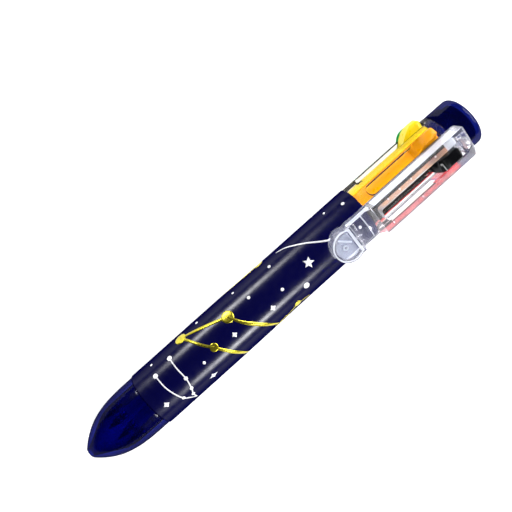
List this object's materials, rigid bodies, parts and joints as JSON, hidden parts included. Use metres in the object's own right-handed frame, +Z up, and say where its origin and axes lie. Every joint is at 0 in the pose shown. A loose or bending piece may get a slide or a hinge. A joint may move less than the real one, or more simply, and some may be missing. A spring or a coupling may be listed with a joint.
{
  "type": "multicolor click pen",
  "caption": "Fat click pen lying on its side: sliders in a clear upper body push spring-loaded colour refills out of one nose hole; clear clip.",
  "frame": {"origin": "on the table, at the centre of the bottom of the bounding box", "axes": "+X along the pen from the nose to the cap, +Z up from the table, clip on the upper side rolled towards -Y"},
  "size_m": [0.1382, 0.0188, 0.0224],
  "materials": {
    "navy_barrel": "gloss",
    "navy_see_through": "gloss",
    "clear_plastic": "gloss",
    "white_plastic": "satin",
    "spring_steel": "satin",
    "tip_metal": "polished",
    "slider_black": "satin",
    "slider_red": "satin",
    "slider_magenta": "satin",
    "slider_blue": "satin",
    "slider_brown": "satin",
    "slider_green": "satin",
    "slider_yellow": "satin",
    "slider_orange": "satin",
    "ink_black": "gloss",
    "ink_red": "gloss",
    "ink_magenta": "gloss",
    "ink_blue": "gloss",
    "ink_brown": "gloss",
    "ink_green": "gloss",
    "ink_yellow": "gloss",
    "ink_orange": "gloss"
  },
  "bodies": {
    "casing": {"barrel": "navy_barrel", "upper_body": "clear_plastic", "core_post": "white_plastic", "spring_seat": "white_plastic", "end_cap": "navy_see_through", "spring_black": "spring_steel", "spring_red": "spring_steel", "spring_magenta": "spring_steel", "spring_blue": "spring_steel", "spring_brown": "spring_steel", "spring_green": "spring_steel", "spring_yellow": "spring_steel", "spring_orange": "spring_steel"},
    "nose": {"nose_cone": "navy_see_through"},
    "clip": {"clip": "clear_plastic"},
    "slider_black": {"slider_black": "slider_black"},
    "refill_black": {"refill_tube_black": "ink_black", "tip_holder_black": "white_plastic", "refill_tip_black": "tip_metal"},
    "slider_red": {"slider_red": "slider_red"},
    "refill_red": {"refill_tube_red": "ink_red", "tip_holder_red": "white_plastic", "refill_tip_red": "tip_metal"},
    "slider_magenta": {"slider_magenta": "slider_magenta"},
    "refill_magenta": {"refill_tube_magenta": "ink_magenta", "tip_holder_magenta": "white_plastic", "refill_tip_magenta": "tip_metal"},
    "slider_blue": {"slider_blue": "slider_blue"},
    "refill_blue": {"refill_tube_blue": "ink_blue", "tip_holder_blue": "white_plastic", "refill_tip_blue": "tip_metal"},
    "slider_brown": {"slider_brown": "slider_brown"},
    "refill_brown": {"refill_tube_brown": "ink_brown", "tip_holder_brown": "white_plastic", "refill_tip_brown": "tip_metal"},
    "slider_green": {"slider_green": "slider_green"},
    "refill_green": {"refill_tube_green": "ink_green", "tip_holder_green": "white_plastic", "refill_tip_green": "tip_metal"},
    "slider_yellow": {"slider_yellow": "slider_yellow"},
    "refill_yellow": {"refill_tube_yellow": "ink_yellow", "tip_holder_yellow": "white_plastic", "refill_tip_yellow": "tip_metal"},
    "slider_orange": {"slider_orange": "slider_orange"},
    "refill_orange": {"refill_tube_orange": "ink_orange", "tip_holder_orange": "white_plastic", "refill_tip_orange": "tip_metal"}
  },
  "joints": [
    {"name": "press_black", "type": "slide", "parent": "casing", "child": "slider_black", "axis": [-0.9999, 0, -0.012], "range_m": [0, 0.0115], "stiffness_N_per_m": 60, "springref_m": -0.008, "deforming": ["spring_black"]},
    {"name": "press_red", "type": "slide", "parent": "casing", "child": "slider_red", "axis": [-0.9999, 0, -0.012], "range_m": [0, 0.0115], "stiffness_N_per_m": 60, "springref_m": -0.008, "deforming": ["spring_red"]},
    {"name": "press_magenta", "type": "slide", "parent": "casing", "child": "slider_magenta", "axis": [-0.9999, 0, -0.012], "range_m": [0, 0.0115], "stiffness_N_per_m": 60, "springref_m": -0.008, "deforming": ["spring_magenta"]},
    {"name": "press_blue", "type": "slide", "parent": "casing", "child": "slider_blue", "axis": [-0.9999, 0, -0.012], "range_m": [0, 0.0115], "stiffness_N_per_m": 60, "springref_m": -0.008, "deforming": ["spring_blue"]},
    {"name": "press_brown", "type": "slide", "parent": "casing", "child": "slider_brown", "axis": [-0.9999, 0, -0.012], "range_m": [0, 0.0115], "stiffness_N_per_m": 60, "springref_m": -0.008, "deforming": ["spring_brown"]},
    {"name": "press_green", "type": "slide", "parent": "casing", "child": "slider_green", "axis": [-0.9999, 0, -0.012], "range_m": [0, 0.0115], "stiffness_N_per_m": 60, "springref_m": -0.008, "deforming": ["spring_green"]},
    {"name": "press_yellow", "type": "slide", "parent": "casing", "child": "slider_yellow", "axis": [-0.9999, 0, -0.012], "range_m": [0, 0.0115], "stiffness_N_per_m": 60, "springref_m": -0.008, "deforming": ["spring_yellow"]},
    {"name": "press_orange", "type": "slide", "parent": "casing", "child": "slider_orange", "axis": [-0.9999, 0, -0.012], "range_m": [0, 0.0115], "stiffness_N_per_m": 60, "springref_m": -0.008, "deforming": ["spring_orange"]},
    {"name": "lean_black", "type": "hinge", "parent": "slider_black", "child": "refill_black", "pos_m": [0.00682, -0.00186, 0.0133], "axis": [0.0046, -0.9239, -0.3827], "range_deg": [0, 4.3], "deforming": ["refill_tube_black", "tip_holder_black", "refill_tip_black"]},
    {"name": "lean_red", "type": "hinge", "parent": "slider_red", "child": "refill_red", "pos_m": [0.00685, -0.00448, 0.01068], "axis": [0.0111, -0.3827, -0.9238], "range_deg": [0, 4.3], "deforming": ["refill_tube_red", "tip_holder_red", "refill_tip_red"]},
    {"name": "lean_magenta", "type": "hinge", "parent": "slider_magenta", "child": "refill_magenta", "pos_m": [0.0069, -0.00448, 0.00696], "axis": [0.0111, 0.3827, -0.9238], "range_deg": [0, 4.3], "deforming": ["refill_tube_magenta", "tip_holder_magenta", "refill_tip_magenta"]},
    {"name": "lean_blue", "type": "hinge", "parent": "slider_blue", "child": "refill_blue", "pos_m": [0.00693, -0.00186, 0.00434], "axis": [0.0046, 0.9239, -0.3827], "range_deg": [0, 4.3], "deforming": ["refill_tube_blue", "tip_holder_blue", "refill_tip_blue"]},
    {"name": "lean_brown", "type": "hinge", "parent": "slider_brown", "child": "refill_brown", "pos_m": [0.00693, 0.00186, 0.00434], "axis": [-0.0046, 0.9239, 0.3827], "range_deg": [0, 4.3], "deforming": ["refill_tube_brown", "tip_holder_brown", "refill_tip_brown"]},
    {"name": "lean_green", "type": "hinge", "parent": "slider_green", "child": "refill_green", "pos_m": [0.0069, 0.00448, 0.00696], "axis": [-0.0111, 0.3827, 0.9238], "range_deg": [0, 4.3], "deforming": ["refill_tube_green", "tip_holder_green", "refill_tip_green"]},
    {"name": "lean_yellow", "type": "hinge", "parent": "slider_yellow", "child": "refill_yellow", "pos_m": [0.00685, 0.00448, 0.01068], "axis": [-0.0111, -0.3827, 0.9238], "range_deg": [0, 4.3], "deforming": ["refill_tube_yellow", "tip_holder_yellow", "refill_tip_yellow"]},
    {"name": "lean_orange", "type": "hinge", "parent": "slider_orange", "child": "refill_orange", "pos_m": [0.00682, 0.00186, 0.0133], "axis": [-0.0046, -0.9239, 0.3827], "range_deg": [0, 4.3], "deforming": ["refill_tube_orange", "tip_holder_orange", "refill_tip_orange"]},
    {"name": "clip_flex", "type": "hinge", "parent": "casing", "child": "clip", "pos_m": [0.06278, -0.00297, 0.01665], "axis": [-0.0046, 0.9239, 0.3827], "range_deg": [0, 5], "stiffness_Nm_per_rad": 0.05, "springref_deg": -1.15},
    {"name": "nose_unscrew", "type": "hinge", "parent": "casing", "child": "nose", "pos_m": [-0.04742, 0, 0.00817], "axis": [0.9999, 0, 0.012], "range_deg": [0, 720]}
  ],
  "couplings": [
    {"joint": "lean_black", "follows": "press_black", "rad_per_m": 6.319},
    {"joint": "lean_red", "follows": "press_red", "rad_per_m": 6.319},
    {"joint": "lean_magenta", "follows": "press_magenta", "rad_per_m": 6.319},
    {"joint": "lean_blue", "follows": "press_blue", "rad_per_m": 6.319},
    {"joint": "lean_brown", "follows": "press_brown", "rad_per_m": 6.319},
    {"joint": "lean_green", "follows": "press_green", "rad_per_m": 6.319},
    {"joint": "lean_yellow", "follows": "press_yellow", "rad_per_m": 6.319},
    {"joint": "lean_orange", "follows": "press_orange", "rad_per_m": 6.319}
  ]
}
